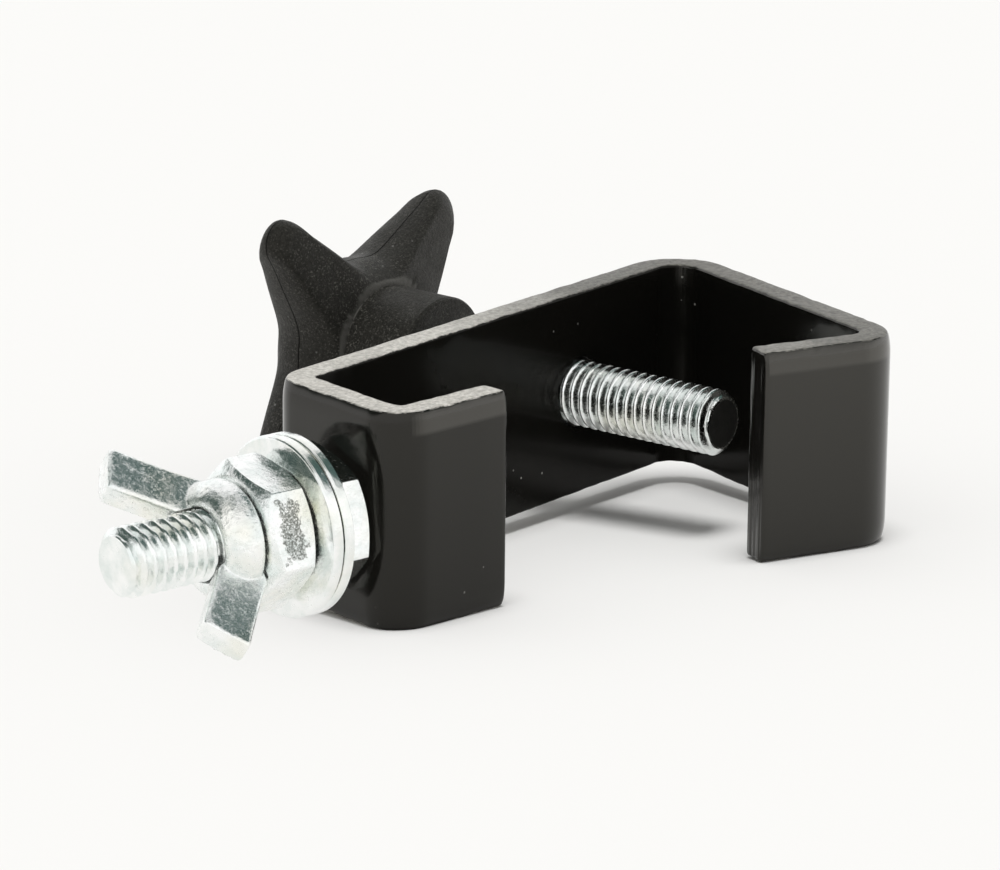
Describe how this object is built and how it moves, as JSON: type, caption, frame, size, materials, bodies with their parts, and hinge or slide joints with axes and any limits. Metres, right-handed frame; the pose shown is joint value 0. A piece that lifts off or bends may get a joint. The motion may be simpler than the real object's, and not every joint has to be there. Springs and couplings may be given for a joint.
{
  "type": "lighting hook clamp",
  "caption": "Hook clamp bent from flat steel strip, with a knob-driven stud to grip a pipe and a side bolt with nuts and washers to hold a lamp.",
  "frame": {"origin": "on the strip's lower edge, midway through the flange's thickness, straight below the fixing bolt's axis", "axes": "+Z across the strip, up as the clamp lies on its edge; +X along the back plate towards the hook; +Y out through the back plate towards the knob"},
  "size_m": [0.1273, 0.0954, 0.0438],
  "materials": {
    "black_powder_coat": "gloss black powder coat",
    "bright_zinc": "bright zinc plating",
    "black_plastic": "matt, fine grained"
  },
  "bodies": {
    "bracket": {"hook_bracket": "black_powder_coat", "fixing_bolt": "bright_zinc", "jam_nut": "bright_zinc"},
    "inner_washer": {"inner_washer": "bright_zinc"},
    "outer_washer": {"outer_washer": "bright_zinc"},
    "fixing_nut": {"fixing_nut": "bright_zinc"},
    "wing_nut": {"wing_nut": "bright_zinc"},
    "stud": {"clamp_stud": "bright_zinc"},
    "knob": {"knob": "black_plastic"}
  },
  "joints": [
    {"name": "clamp_stud_advance", "type": "slide", "parent": "bracket", "child": "stud", "axis": [0, -1, 0], "range_m": [-0.02381, 0.01111]},
    {"name": "knob_turn", "type": "hinge", "parent": "stud", "child": "knob", "pos_m": [0.06346, 0.01337, 0.015], "axis": [0, -1, 0], "range_deg": [-5400, 2520]},
    {"name": "inner_washer_spin", "type": "hinge", "parent": "bracket", "child": "inner_washer", "pos_m": [-0.0022, 0.00049, 0.0138], "axis": [-0.9763, 0.2164, 0], "continuous": true},
    {"name": "outer_washer_slide", "type": "slide", "parent": "bracket", "child": "outer_washer", "axis": [-0.9763, 0.2164, 0], "range_m": [0, 0.00953]},
    {"name": "fixing_nut_turn", "type": "hinge", "parent": "outer_washer", "child": "fixing_nut", "pos_m": [-0.0022, 0.00049, 0.0138], "axis": [-0.9763, 0.2164, 0], "range_deg": [0, 2160]},
    {"name": "wing_nut_turn", "type": "hinge", "parent": "outer_washer", "child": "wing_nut", "pos_m": [-0.0022, 0.00049, 0.0138], "axis": [-0.9763, 0.2164, 0], "range_deg": [0, 2160]}
  ],
  "couplings": [
    {"joint": "clamp_stud_advance", "follows": "knob_turn", "m_per_rad": 0.00025266},
    {"joint": "outer_washer_slide", "follows": "fixing_nut_turn", "m_per_rad": 0.00025266},
    {"joint": "wing_nut_turn", "follows": "fixing_nut_turn", "ratio": 1}
  ]
}
